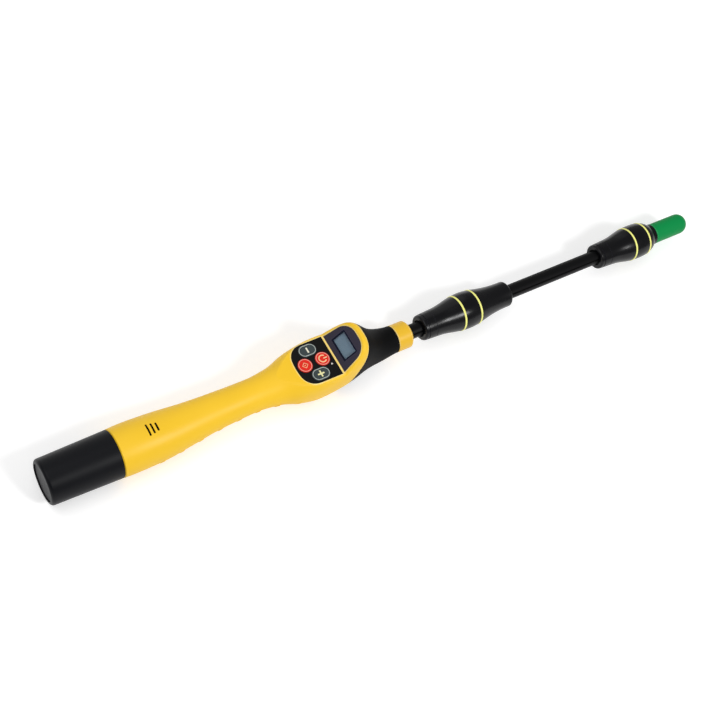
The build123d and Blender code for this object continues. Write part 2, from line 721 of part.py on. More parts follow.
def display_panel():
    """Plate in the sloping pocket, open over the display."""
    panel = on_display(display_outline(-PANEL_FIT), 0, -PANEL_DEPTH)
    return panel - on_display(window_outline(WINDOW_LENGTH, WINDOW_WIDTH), 1, -PANEL_DEPTH - 1)


def lcd_window():
    """Clear pane that fills the display panel's opening."""
    return on_display(window_outline(WINDOW_LENGTH, WINDOW_WIDTH), 0, -PANEL_DEPTH)


def lcd_module():
    """Display glass that stands up into the shell's opening, on a carrier board behind the shell."""
    back = -PANEL_DEPTH - WALL - 0.1
    board = on_display(window_outline(MODULE_LENGTH, MODULE_WIDTH), back, back - MODULE_DEPTH)
    glass_face = window_outline(WINDOW_LENGTH - 2 * MODULE_GLASS_GAP, WINDOW_WIDTH - 2 * MODULE_GLASS_GAP)
    return board + on_display(glass_face, -PANEL_DEPTH - 0.4, back)


def main_board():
    """Circuit board held by four screws under the keypad."""
    board = Box(BOARD_FRONT - BOARD_REAR, 2 * BOARD_HALF_WIDTH, BOARD_THICKNESS)
    board = board.moved(Location(((BOARD_REAR + BOARD_FRONT) / 2, 0, BOARD_BASE + BOARD_THICKNESS / 2)))
    for x, y in BOARD_SCREW_PLACES:
        board = board - mirrored_pair(post(x, y, 0, FAR, BOARD_SCREW_RADIUS))
    return board


def board_screws():
    """Four small screws from below into the shell's bosses."""
    screws = []
    for x, y in BOARD_SCREW_PLACES:
        head = post(x, y, BOARD_BASE - 1.4, BOARD_BASE, BOARD_SCREW_HEAD)
        screws += mirrored_pair(head + post(x, y, BOARD_BASE, CEILING - 1.5, BOARD_SCREW_RADIUS))
    return screws


def key_switches():
    """One tactile switch under each key, a little lower than the pressed key reaches."""
    plunger_top = FLANGE_BASE - KEY_TRAVEL - KEY_PLAY
    body_top = plunger_top - SWITCH_PLUNGER
    switches = []
    for name in KEY_NAMES:
        centre = key_face(name).center()
        body = Box(SWITCH_WIDTH, SWITCH_WIDTH, body_top - BOARD_TOP)
        body = body.moved(Location((centre.X, centre.Y, (body_top + BOARD_TOP) / 2)))
        switches.append(body + post(centre.X, centre.Y, body_top, plunger_top, SWITCH_PLUNGER_RADIUS))
    return switches


def battery_lead():
    """Two-core lead from the contact board, past the speaker and over the guide tube, to the main board."""
    route = [(CONTACT_BOARD_PLACE + BOARD_THICKNESS, -12, 3), (28, -12, 2), (54, -13.5, 4), (80, -10, 10.5),
             (106, -4, 13.6), (134, 1, 13.4), (162, -1, 13.6), (BOARD_REAR, 0, BOARD_BASE + 0.8)]
    points = [Vector(*point) for point in route]
    radii = []
    for before, here, after in zip(points, points[1:], points[2:]):
        turn = math.radians((here - before).get_angle(after - here))
        shorter = min((here - before).length, (after - here).length)
        radii.append(0.45 * shorter / math.tan(turn / 2))
    path = FilletPolyline(*points, radius=radii)
    start = Plane(origin=path @ 0, z_dir=path % 0)
    return sweep(start * Circle(LEAD_RADIUS), path)


def guide_tube():
    """Tube along the handle that the rod slides into."""
    return tube(GUIDE_TUBE_REAR, BUSH_REAR, GUIDE_TUBE_RADIUS, GUIDE_TUBE_BORE)


def groove_bars(width, depth, rear, front):
    """Two bars that lie along the rod's keyways and reach in from its surface by the depth."""
    bar = Box(front - rear, width, 2 * depth).moved(Location(((rear + front) / 2, 0, ROD_RADIUS)))
    return [bar.rotate(Axis.X, angle) for angle in (GROOVE_ANGLE, -GROOVE_ANGLE)]


def front_bush():
    """Bush in the neck with a spigot for the lock collar and two keys that run in the rod's keyways."""
    bush = tube(BUSH_REAR, NECK_FRONT, BUSH_RADIUS, ROD_RADIUS + RUNNING_FIT)
    bush = bush + tube(NECK_FRONT, COLLET_REAR, SPIGOT_RADIUS, ROD_RADIUS + RUNNING_FIT)
    key_front = BUSH_REAR + BUSH_KEY_LENGTH
    keys = groove_bars(GROOVE_WIDTH - 0.2, GROOVE_DEPTH - 0.2, BUSH_REAR, key_front)
    trim = tube(BUSH_REAR, key_front, ROD_RADIUS + 0.6)
    return bush + [bar & trim for bar in keys]


def collet():
    """Split tapered ring that grips the rod when the collar is turned."""
    front = COLLAR_FRONT - COLLAR_NOSE - 0.4
    bore = ROD_RADIUS + RUNNING_FIT
    ring = turned((COLLET_REAR, bore), (front, bore), (front, 9.4), (COLLET_REAR, 10.9))
    for index in range(COLLET_SLOTS):
        slot = Box(20, COLLET_SLOT_WIDTH, 30).moved(Location((COLLET_REAR + 11.5, 0, 15)))
        ring = ring - slot.rotate(Axis.X, 360 / COLLET_SLOTS * index + 90)
    return ring


def lock_collar():
    """Yellow twist collar: runs on the bush's spigot, with a cone inside its nose that closes the collet."""
    nose = COLLAR_FRONT - COLLAR_NOSE
    bore = SPIGOT_RADIUS + RUNNING_FIT
    mouth = ROD_RADIUS + 0.6
    inside = ((COLLAR_REAR, bore), (COLLET_REAR, bore), (nose, 9.7), (nose, mouth), (COLLAR_FRONT, mouth))
    outside = ((COLLAR_FRONT, COLLAR_RADIUS - COLLAR_CHAMFER), (COLLAR_FRONT - COLLAR_CHAMFER, COLLAR_RADIUS),
               (COLLAR_REAR + COLLAR_REAR_CHAMFER, COLLAR_RADIUS),
               (COLLAR_REAR, COLLAR_RADIUS - COLLAR_REAR_CHAMFER))
    return turned(*inside, *outside)


def coiled_lead():
    """Space of the springy lead between the rod's rear end and the contact board."""
    return tube(CONTACT_BOARD_PLACE + BOARD_THICKNESS, ROD_REAR, COILED_LEAD_RADIUS)


def wand_rod():
    """Tube with two keyways along its whole length."""
    rod = tube(ROD_REAR, ROD_FRONT, ROD_RADIUS, ROD_BORE)
    return rod - groove_bars(GROOVE_WIDTH, GROOVE_DEPTH, ROD_REAR - 1, ROD_FRONT + 1)


def rod_stop():
    """Ring on the rod's rear end that slides in the guide tube and meets the bush when pulled out."""
    return tube(ROD_REAR, ROD_REAR + STOP_LENGTH, GUIDE_TUBE_BORE - RUNNING_FIT, ROD_RADIUS)


def signal_cable():
    """Cable inside the rod, from the springy lead to the far coil."""
    return tube(ROD_REAR, SECOND_SLEEVE["rings"][1], CABLE_RADIUS)


def sleeve_curve(outline):
    """Smooth curve along a sleeve's outline."""
    return Spline(*[Vector(x, 0, radius) for x, radius in outline])


def sleeve_solid(outline):
    """Sleeve turned from its outline."""
    curve = sleeve_curve(outline)
    rear, front = curve @ 0, curve @ 1
    base = Polyline(front, Vector(front.X, 0, 0), Vector(rear.X, 0, 0), rear)
    return revolve(make_face(curve + base), Axis.X)


def sleeve_radius(outline, place):
    """Radius of the sleeve's outline at one place, found by halving the curve."""
    curve = sleeve_curve(outline)
    low, high = 0.0, 1.0
    for _ in range(40):
        middle = (low + high) / 2
        if (curve @ middle).X < place:
            low = middle
        else:
            high = middle
    return (curve @ low).Z


def end_rim(solid, place):
    """Outermost edge of a turned solid at one place along the wand."""
    edges = [edge for edge in solid.edges() if abs(edge.center().X - place) < 0.01]
    return max(edges, key=lambda edge: edge.length)


def sleeve_body(sleeve, outline, coil_rear, coil_front):
    """Whole sleeve with its bore, coil cavity, mouth and grooves, before the rings part it."""
    rear, nose, reach = sleeve["rear"], sleeve["nose"], sleeve["reach"]
    solid = sleeve_solid(outline)
    solid = fillet(end_rim(solid, rear), SLEEVE_END_EDGE)
    solid = fillet(end_rim(solid, nose), sleeve["edge"])
    if reach > nose:
        solid = solid + tube(nose, reach, SLEEVE_COLLAR_RADIUS)
    solid = solid - tube(rear - 1, reach + 1, SLEEVE_BORE) - tube(coil_rear, coil_front, COIL_CAVITY_RADIUS)
    solid = solid - tube(rear - 1, rear + SLEEVE_MOUTH_DEPTH, SLEEVE_MOUTH_RADIUS)
    for place, width, depth in SLEEVE_GROOVES:
        floor_radius = sleeve_radius(outline, rear + place + width / 2) - depth
        solid = solid - tube(rear + place, rear + place + width, FAR, floor_radius)
    return solid


def marker_ring(outline, place):
    """Yellow ring that stands a little proud of the sleeve."""
    outer = sleeve_radius(outline, place) + RING_PROUD
    ring = tube(place - RING_WIDTH / 2, place + RING_WIDTH / 2, outer, RING_GROOVE_RADIUS)
    rims = [end_rim(ring, place - RING_WIDTH / 2), end_rim(ring, place + RING_WIDTH / 2)]
    return fillet(rims, RING_EDGE)


def coil_sleeve(number, sleeve, outline):
    """Sleeve of three black pieces parted by two yellow rings, round a coil on its former."""
    rear_ring, front_ring = sleeve["rings"]
    half = RING_WIDTH / 2
    coil_rear = rear_ring - sleeve["coil_ends"][0]
    coil_front = front_ring + sleeve["coil_ends"][1]
    solid = sleeve_body(sleeve, outline, coil_rear, coil_front)

    former_rear, former_front = coil_rear + FORMER_GAP, coil_front - FORMER_GAP
    winding_rear, winding_front = former_rear + FORMER_FLANGE, former_front - FORMER_FLANGE
    former = tube(former_rear, former_front, FORMER_RADIUS, SLEEVE_BORE)
    former = former + tube(former_rear, winding_rear, FORMER_FLANGE_RADIUS, SLEEVE_BORE)
    former = former + tube(winding_front, former_front, FORMER_FLANGE_RADIUS, SLEEVE_BORE)
    return {
        f"sleeve_{number}_rear": solid & slab(sleeve["rear"] - 1, rear_ring - half),
        f"sleeve_{number}_band": solid & slab(rear_ring + half, front_ring - half),
        f"sleeve_{number}_front": solid & slab(front_ring + half, sleeve["reach"] + 1),
        f"ring_{number}_rear": marker_ring(outline, rear_ring),
        f"ring_{number}_front": marker_ring(outline, front_ring),
        f"coil_former_{number}": former,
        f"coil_{number}": tube(winding_rear, winding_front, COIL_RADIUS, FORMER_RADIUS),
    }


def tip():
    """Green nose: a plain barrel with a round end, a low lip at its base and a bore for the rod's end."""
    barrel = tube(TIP_REAR, TIP_FRONT, TIP_RADIUS)
    barrel = fillet(barrel.edges().sort_by(Axis.X)[-1], TIP_RADIUS - TIP_FLAT)
    lip = tube(TIP_REAR, TIP_REAR + TIP_LIP_LENGTH, TIP_LIP_RADIUS)
    return barrel + lip - tube(TIP_REAR - 1, ROD_FRONT + 0.5, SLEEVE_BORE)


def build_nodes():
    """Every piece by its name; a group of like fasteners or cells is a list."""
    upper, lower, neck = shells()
    nodes = {
        "upper_shell": upper,
        "lower_shell": lower,
        "neck_boot": neck,
        "shell_screws": shell_screws(),
        "battery_cap": battery_cap(),
        "carrier_spring": carrier_spring(),
        "cap_socket": cap_socket(),
        "socket_seal": socket_seal(),
        "battery_cells": battery_cells(),
        "battery_carrier": battery_carrier(),
        "contact_pins": contact_pins(),
        "contact_board": contact_board(),
        "battery_lead": battery_lead(),
        "speaker": speaker(),
        "speaker_gasket": speaker_gasket(),
        "keypad_panel": keypad_panel(),
        "display_panel": display_panel(),
        "lcd_window": lcd_window(),
        "lcd_module": lcd_module(),
        "main_board": main_board(),
        "board_screws": board_screws(),
        "key_switches": key_switches(),
        "guide_tube": guide_tube(),
        "front_bush": front_bush(),
        "collet": collet(),
        "lock_collar": lock_collar(),
        "coiled_lead": coiled_lead(),
        "wand_rod": wand_rod(),
        "rod_stop": rod_stop(),
        "signal_cable": signal_cable(),
        "tip": tip(),
    }
    for name in KEY_NAMES:
        nodes[name] = key(name)
    nodes.update(coil_sleeve(1, FIRST_SLEEVE, FIRST_OUTLINE))
    nodes.update(coil_sleeve(2, SECOND_SLEEVE, SECOND_OUTLINE))
    return nodes


os.makedirs("parts", exist_ok=True)
for node_name, piece in build_nodes().items():
    solids = piece if isinstance(piece, list) else [piece]
    placed = Compound(children=[solid.moved(PART_SHIFT) for solid in solids])
    export_step(placed, f"parts/{node_name}.step")
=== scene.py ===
import math

import bmesh
import bpy
from mathutils import Matrix, Vector


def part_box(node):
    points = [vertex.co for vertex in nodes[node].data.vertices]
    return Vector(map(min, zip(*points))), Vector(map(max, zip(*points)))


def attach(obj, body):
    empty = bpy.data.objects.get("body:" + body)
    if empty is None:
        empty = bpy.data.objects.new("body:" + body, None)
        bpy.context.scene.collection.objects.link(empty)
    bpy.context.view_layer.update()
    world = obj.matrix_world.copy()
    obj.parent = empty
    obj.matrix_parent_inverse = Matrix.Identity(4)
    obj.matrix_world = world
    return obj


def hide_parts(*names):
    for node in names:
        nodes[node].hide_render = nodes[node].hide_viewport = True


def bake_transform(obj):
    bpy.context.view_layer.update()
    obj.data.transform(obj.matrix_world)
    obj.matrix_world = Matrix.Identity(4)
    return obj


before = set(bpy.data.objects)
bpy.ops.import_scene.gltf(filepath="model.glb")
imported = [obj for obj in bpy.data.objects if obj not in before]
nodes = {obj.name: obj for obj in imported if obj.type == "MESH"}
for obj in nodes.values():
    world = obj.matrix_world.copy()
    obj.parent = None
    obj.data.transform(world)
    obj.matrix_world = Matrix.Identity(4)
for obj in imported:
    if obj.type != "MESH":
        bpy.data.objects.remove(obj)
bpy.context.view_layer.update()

# Handle shells: two injection-moulded halves of tough yellow plastic, screwed together from below.
# The mould's fine spark-eroded skin takes the shine off. Corners on the head, above the line where
# the two halves meet, carry a pale painted highlight.
HIGHLIGHT_HEIGHT = 0.0325
HIGHLIGHT_FADE = 0.006
SKIN_GRAIN = 1500.0
SKIN_DEPTH = 0.0002
SHEEN_SWING = 0.05

head_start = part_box("keypad_panel")[0].x - HIGHLIGHT_FADE


def tint(red, green, blue):
    """Colour given as on a paint card, 0 to 255 a channel, turned into the renderer's light values."""
    shares = [channel / 255 for channel in (red, green, blue)]
    light = [share / 12.92 if share < 0.04 else ((share + 0.055) / 1.055) ** 2.4 for share in shares]
    return (*light, 1)


def shade(colour, factor):
    """The same colour, made darker or lighter by a factor."""
    return (*[channel * factor for channel in colour[:3]], 1)


def sockets(tree, direction, kind, *names):
    """Gives a node tree named inputs or outputs of one kind."""
    for name in names:
        tree.interface.new_socket(name, in_out=direction, socket_type=kind)


def add(tree, kind, values=None, **settings):
    """New node in a tree, with its settings and the values of its input sockets."""
    node = tree.nodes.new(kind)
    for name, setting in settings.items():
        setattr(node, name, setting)
    for socket, value in (values or {}).items():
        node.inputs[socket].default_value = value
    return node


def join(tree, source, output, target, socket):
    """Leads one node's output to another node's input."""
    tree.links.new(source.outputs[output], target.inputs[socket])


def moulded_skin_group():
    """Skin of moulded plastic: a fine height, a slow drift of tone, and a mask for a painted highlight on
    corners of the head.
    """
    group = bpy.data.node_groups.new("moulded_skin", "ShaderNodeTree")
    sockets(group, "INPUT", "NodeSocketFloat", "Grain Size", "Drift Size", "Corner Size")
    sockets(group, "OUTPUT", "NodeSocketFloat", "Height", "Drift", "Painted Highlight")
    inputs = add(group, "NodeGroupInput")
    outputs = add(group, "NodeGroupOutput")
    place = add(group, "ShaderNodeTexCoord")
    grain = add(group, "ShaderNodeTexNoise", {"Detail": 3, "Roughness": 0.6})
    drift = add(group, "ShaderNodeTexNoise", {"Detail": 2})
    shape = add(group, "ShaderNodeNewGeometry")
    # The corner mask below paints a pale highlight on rounded edges, only on the head above the part line.
    rounded = add(group, "ShaderNodeBevel", samples=8)
    turn = add(group, "ShaderNodeVectorMath", operation="DOT_PRODUCT")
    corner = add(group, "ShaderNodeMapRange", {"From Min": 0.998, "From Max": 0.955})
    axes = add(group, "ShaderNodeSeparateXYZ")
    above = {"From Min": HIGHLIGHT_HEIGHT, "From Max": HIGHLIGHT_HEIGHT + HIGHLIGHT_FADE}
    high = add(group, "ShaderNodeMapRange", above)
    forward = {"From Min": head_start - HIGHLIGHT_FADE, "From Max": head_start}
    ahead = add(group, "ShaderNodeMapRange", forward)
    highlight_zone = add(group, "ShaderNodeMath", operation="MULTIPLY")
    edge_highlight = add(group, "ShaderNodeMath", operation="MULTIPLY")
    join(group, place, "Object", grain, "Vector")
    join(group, place, "Object", drift, "Vector")
    join(group, inputs, "Grain Size", grain, "Scale")
    join(group, inputs, "Drift Size", drift, "Scale")
    join(group, inputs, "Corner Size", rounded, "Radius")
    join(group, rounded, "Normal", turn, 0)
    join(group, shape, "Normal", turn, 1)
    join(group, turn, "Value", corner, "Value")
    join(group, place, "Object", axes, "Vector")
    join(group, axes, "Z", high, "Value")
    join(group, axes, "X", ahead, "Value")
    join(group, high, "Result", highlight_zone, 0)
    join(group, ahead, "Result", highlight_zone, 1)
    join(group, corner, "Result", edge_highlight, 0)
    join(group, highlight_zone, "Value", edge_highlight, 1)
    join(group, grain, "Fac", outputs, "Height")
    join(group, drift, "Fac", outputs, "Drift")
    join(group, edge_highlight, "Value", outputs, "Painted Highlight")
    return group


moulded_skin = moulded_skin_group()


def new_finish(name):
    """Empty finish: its material, its node tree and its surface shader."""
    material = bpy.data.materials.new(name)
    material.use_nodes = True
    return material, material.node_tree, material.node_tree.nodes["Principled BSDF"]


def two_tone(tree, first, second):
    """Node that goes from one colour to another."""
    return add(tree, "ShaderNodeMix", {"A": first, "B": second}, data_type="RGBA")


def moulded(name, colour, edge_highlight, roughness,
            specular=0.5, corner=0.0004, depth=0.06, drift=16.0, swing=0.05):
    """Moulded plastic or rubber whose tone and sheen drift a little, with a pale painted highlight on its
    corners on the head.
    """
    material, tree, surface = new_finish(name)
    surface.inputs["Specular IOR Level"].default_value = specular
    sizes = {"Grain Size": SKIN_GRAIN, "Drift Size": drift, "Corner Size": corner}
    skin = add(tree, "ShaderNodeGroup", sizes, node_tree=moulded_skin)
    tone = two_tone(tree, shade(colour, 1 - swing), shade(colour, 1 + swing))
    # The second colour is a painted highlight, mixed over the tone on the corners.
    painted_edges = add(tree, "ShaderNodeMix", {"B": edge_highlight}, data_type="RGBA")
    sheen = add(tree, "ShaderNodeMapRange", {"From Min": 0.3, "From Max": 0.7})
    sheen.inputs["To Min"].default_value = roughness - SHEEN_SWING
    sheen.inputs["To Max"].default_value = roughness + SHEEN_SWING
    bump = add(tree, "ShaderNodeBump", {"Strength": depth, "Distance": SKIN_DEPTH})
    join(tree, skin, "Drift", tone, "Factor")
    join(tree, tone, "Result", painted_edges, "A")
    join(tree, skin, "Painted Highlight", painted_edges, "Factor")
    join(tree, painted_edges, "Result", surface, "Base Color")
    join(tree, skin, "Drift", sheen, "Value")
    join(tree, sheen, "Result", surface, "Roughness")
    join(tree, skin, "Height", bump, "Height")
    join(tree, bump, "Normal", surface, "Normal")
    return material


def dress(material, *names):
    """Gives one finish to whole pieces of the frame."""
    for name in names:
        nodes[name].data.materials.clear()
        nodes[name].data.materials.append(material)


# The pale cream colour for the corners is a painted highlight on the shells' rounded edges.
shell_yellow = moulded("shell_yellow", tint(248, 200, 40), tint(255, 233, 155), 0.46,
                       specular=0.28, corner=0.0024)
dress(shell_yellow, "upper_shell", "lower_shell")

# Fasteners: bright zinc-plated steel screws through the shells and the board, and the cap's leaf spring.
# Rolled and plated steel carries fine lines and dull patches.
LINE_STRETCH = 12


def plated(name, colour, roughness, lines):
    """Bare or plated metal with fine drawn lines and dull patches."""
    material, tree, surface = new_finish(name)
    surface.inputs["Metallic"].default_value = 1.0
    place = add(tree, "ShaderNodeTexCoord")
    stretch = add(tree, "ShaderNodeMapping", {"Scale": (lines, lines, lines / LINE_STRETCH)})
    drawn = add(tree, "ShaderNodeTexNoise", {"Scale": 1.0, "Detail": 4})
    tone = two_tone(tree, shade(colour, 0.8), colour)
    dull = add(tree, "ShaderNodeMapRange", {"To Min": roughness + 0.12, "To Max": roughness - 0.08})
    bump = add(tree, "ShaderNodeBump", {"Strength": 0.05, "Distance": 0.0001})
    join(tree, place, "Object", stretch, "Vector")
    join(tree, stretch, "Vector", drawn, "Vector")
    join(tree, drawn, "Fac", tone, "Factor")
    join(tree, tone, "Result", surface, "Base Color")
    join(tree, drawn, "Fac", dull, "Value")
    join(tree, dull, "Result", surface, "Roughness")
    join(tree, drawn, "Fac", bump, "Height")
    join(tree, bump, "Normal", surface, "Normal")
    return material


zinc_steel = plated("zinc_steel", tint(196, 198, 202), 0.32, 900.0)
dress(zinc_steel, "shell_screws", "board_screws", "carrier_spring")

# Battery pack: four sleeved cells in a black carrier, which two brass pins join to a round board.
# The cells' shrink sleeves are dark with a coppery band at the positive end, and bear no print.
CELL_BAND = 0.012
BAND_EDGE = 0.0002


def cell_sleeve():
    """Glossy shrink sleeve, dark over most of the cell and copper coloured at its front end."""
    material, tree, surface = new_finish("cell_sleeve")
    band_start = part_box("battery_cells")[1].x - CELL_BAND
    place = add(tree, "ShaderNodeTexCoord")
    along = add(tree, "ShaderNodeSeparateXYZ")
    band = add(tree, "ShaderNodeMapRange", {"From Min": band_start, "From Max": band_start + BAND_EDGE})
    film = add(tree, "ShaderNodeTexNoise", {"Scale": 140.0})
    colours = two_tone(tree, tint(38, 40, 46), tint(186, 122, 62))
    gloss = add(tree, "ShaderNodeMapRange", {"To Min": 0.18, "To Max": 0.34})
    join(tree, place, "Object", along, "Vector")
    join(tree, along, "X", band, "Value")
    join(tree, band, "Result", colours, "Factor")
    join(tree, colours, "Result", surface, "Base Color")
    join(tree, place, "Object", film, "Vector")
    join(tree, film, "Fac", gloss, "Value")
    join(tree, gloss, "Result", surface, "Roughness")
    return material


def circuit_board():
    """Green solder mask over copper tracks that show through as paler lines."""
    material, tree, surface = new_finish("circuit_board")
    place = add(tree, "ShaderNodeTexCoord")
    tracks = add(tree, "ShaderNodeTexBrick", {"Scale": 170.0, "Mortar Size": 0.06})
    tracks.inputs["Color1"].default_value = tint(22, 92, 52)
    tracks.inputs["Color2"].default_value = tint(26, 104, 58)
    tracks.inputs["Mortar"].default_value = tint(64, 140, 84)
    gloss = add(tree, "ShaderNodeMapRange", {"To Min": 0.28, "To Max": 0.42})
    join(tree, place, "Object", tracks, "Vector")
    join(tree, tracks, "Color", surface, "Base Color")
    join(tree, tracks, "Fac", gloss, "Value")
    join(tree, gloss, "Result", surface, "Roughness")
    return material


carrier_black = moulded("carrier_black", tint(30, 30, 32), tint(70, 70, 74), 0.5)
brass = plated("brass", tint(214, 178, 104), 0.28, 700.0)
board_green = circuit_board()
dress(cell_sleeve(), "battery_cells")
dress(carrier_black, "battery_carrier", "cap_socket", "key_switches")
dress(brass, "contact_pins")
dress(board_green, "contact_board", "main_board")

# Seals: soft black rubber rings in the cap's socket and over the speaker's rim.
# Cut and moulded rubber is dull and takes a bloom.
seal_rubber = moulded("seal_rubber", tint(34, 34, 35), tint(64, 64, 66), 0.72, swing=0.2)
dress(seal_rubber, "socket_seal", "speaker_gasket")

# Battery cap: a black glass-filled moulding with an even satin skin and a shallow dish in its end.
# It turns onto the lugs of the socket behind the handle.
black_satin = moulded("black_satin", tint(13, 14, 18), tint(48, 48, 52), 0.42, specular=0.12, swing=0.12)
dress(black_satin, "battery_cap")

# Neck: a black soft-touch boot in front of the leaning seam, clamped between the shells and the bush.
# Its rubbery skin is duller than the cap's.
neck_matt = moulded("neck_matt", tint(12, 12, 13), tint(36, 36, 39), 0.62, specular=0.05, swing=0.12)
dress(neck_matt, "neck_boot")

# Speaker: a pressed steel basket under three slots, behind a black acoustic cloth.
# The cloth is pressed into the slots from inside and follows the round of the handle, just below its skin.
SLOT_PITCH = 0.0046
SLOT_LENGTHS = (0.0131, 0.0114, 0.0093)
SLOT_WIDTH = 0.0020
CLOTH_FIT = 0.00003
CLOTH_SINK = 0.0011
CLOTH_OVER_SPEAKER = 0.0012
ARC_STEPS = 8
SIDE_STEPS = 6
MERGE_DISTANCE = 1e-7

scene = bpy.context.scene


def slot_outline(centre_x, length, width):
    """Points round a slot that lies across the handle, with half-round ends."""
    radius = width / 2
    straight = length / 2 - radius
    points = []
    for end in (1, -1):
        for step in range(ARC_STEPS + 1):
            angle = math.pi * step / ARC_STEPS
            along = radius * math.cos(angle)
            across = straight + radius * math.sin(angle)
            points.append((centre_x + end * along, end * across))
        for step in range(1, SIDE_STEPS):
            points.append((centre_x - end * radius, end * straight * (1 - 2 * step / SIDE_STEPS)))
    return points


def prism(shape, outline, low, high, crown=0.0):
    """Adds a closed upright prism to a mesh, its top level or falling to both sides by a crown."""
    base = [shape.verts.new((x, y, low)) for x, y in outline]
    top = [shape.verts.new((x, y, high - crown * y * y)) for x, y in outline]
    shape.faces.new(list(reversed(base)))
    shape.faces.new(top)
    for index in range(len(outline)):
        after = (index + 1) % len(outline)
        shape.faces.new((base[index], base[after], top[after], top[index]))


def closed_up(shape, mesh):
    """Merges a built shape's doubled points, turns its faces outwards and puts it into a mesh."""
    bmesh.ops.remove_doubles(shape, verts=shape.verts, dist=MERGE_DISTANCE)
    bmesh.ops.recalc_face_normals(shape, faces=shape.faces)
    shape.to_mesh(mesh)
    shape.free()


def placed(name, mesh):
    """Object for a mesh, a lamp or a lens, put into the scene at the origin."""
    piece = bpy.data.objects.new(name, mesh)
    scene.collection.objects.link(piece)
    return piece


def piece_from(shape, name, material):
    """Finished piece from a shape that was built in place."""
    mesh = bpy.data.meshes.new(name)
    closed_up(shape, mesh)
    mesh.materials.append(material)
    return placed(name, mesh)


def woven_black(name, colour, threads):
    """Fine black cloth: crossed threads as waves in two directions."""
    material, tree, surface = new_finish(name)
    surface.inputs["Specular IOR Level"].default_value = 0.05
    surface.inputs["Roughness"].default_value = 0.85
    place = add(tree, "ShaderNodeTexCoord")
    weft = add(tree, "ShaderNodeTexWave", {"Scale": threads}, bands_direction="X")
    warp = add(tree, "ShaderNodeTexWave", {"Scale": threads}, bands_direction="Y")
    weave = add(tree, "ShaderNodeMath", operation="MULTIPLY")
    tone = two_tone(tree, shade(colour, 0.4), colour)
    bump = add(tree, "ShaderNodeBump", {"Distance": 0.0001})
    join(tree, place, "Object", weft, "Vector")
    join(tree, place, "Object", warp, "Vector")
    join(tree, weft, "Fac", weave, 0)
    join(tree, warp, "Fac", weave, 1)
    join(tree, weave, "Value", tone, "Factor")
    join(tree, tone, "Result", surface, "Base Color")
    join(tree, weave, "Value", bump, "Height")
    join(tree, bump, "Normal", surface, "Normal")
    return material


speaker_low, speaker_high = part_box("speaker")
speaker_middle = (speaker_low + speaker_high) / 2
cap_low, cap_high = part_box("battery_cap")
skin_crown = 1 / (cap_high.z - cap_low.z)
cloth_shape = bmesh.new()
for index, length in enumerate(SLOT_LENGTHS):
    slot_x = speaker_middle.x + SLOT_PITCH * (index - 1)
    outline = slot_outline(slot_x, length - 2 * CLOTH_FIT, SLOT_WIDTH - 2 * CLOTH_FIT)
    prism(cloth_shape, outline, speaker_high.z + CLOTH_OVER_SPEAKER, cap_high.z - CLOTH_SINK, skin_crown)
acoustic_cloth = woven_black("acoustic_cloth", tint(5, 5, 5), 900.0)
speaker_cloth = piece_from(cloth_shape, "speaker_cloth", acoustic_cloth)
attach(speaker_cloth, "handle")
dress(zinc_steel, "speaker")

# Keypad panel: a black polyester plate bonded into the level pocket, open over the four keys.
# Its matt hard coat is a little glossier where thumbs polish it; one small white pointer is printed on it.
POINTER_FROM_FRONT = 0.0049
POINTER_SIDE = -0.0088
POINTER_SIZE = 0.0013
PRINT_HEIGHT = 0.00008
PRINT_SINK = 0.00005

keypad_black = moulded("keypad_black", tint(9, 8, 8), tint(34, 32, 34), 0.42, specular=0.18, swing=0.15)
dress(keypad_black, "keypad_panel")
pointer_white = moulded("pointer_white", tint(236, 226, 216), tint(245, 240, 235), 0.5)
keypad_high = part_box("keypad_panel")[1]
pointer_points = []
for corner in range(3):
    angle = math.radians(90 + 120 * corner)
    pointer_x = keypad_high.x - POINTER_FROM_FRONT + POINTER_SIZE * math.cos(angle)
    pointer_points.append((pointer_x, POINTER_SIDE + POINTER_SIZE * math.sin(angle)))
pointer_shape = bmesh.new()
prism(pointer_shape, pointer_points, keypad_high.z - PRINT_SINK, keypad_high.z + PRINT_HEIGHT)
keypad_pointer = piece_from(pointer_shape, "keypad_pointer", pointer_white)
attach(keypad_pointer, "handle")

# Keys: four silicone rubber caps, two dark ovals and two red rounds, that press 0.8 mm onto switches.
# Each has a pale line printed round its top and a plain symbol in the middle; the prints ride on the key.
KEY_FLANGE = 0.00055
LINE_INSET = 0.0010
LINE_WIDTH = 0.0007
BAR_WIDTH = 0.0017
MINUS_REACH = 0.0030
PLUS_REACH = 0.0037
POWER_WIDTH = 0.0013
POWER_RADIUS = 0.0038
POWER_GAP = math.radians(40)
POWER_BAR = (0.0008, 0.0052)
LOCATE_WIDTH = 0.0008
LOCATE_REACH = 0.0031
LOCATE_DOT = 0.0006
RING_STEPS = 48


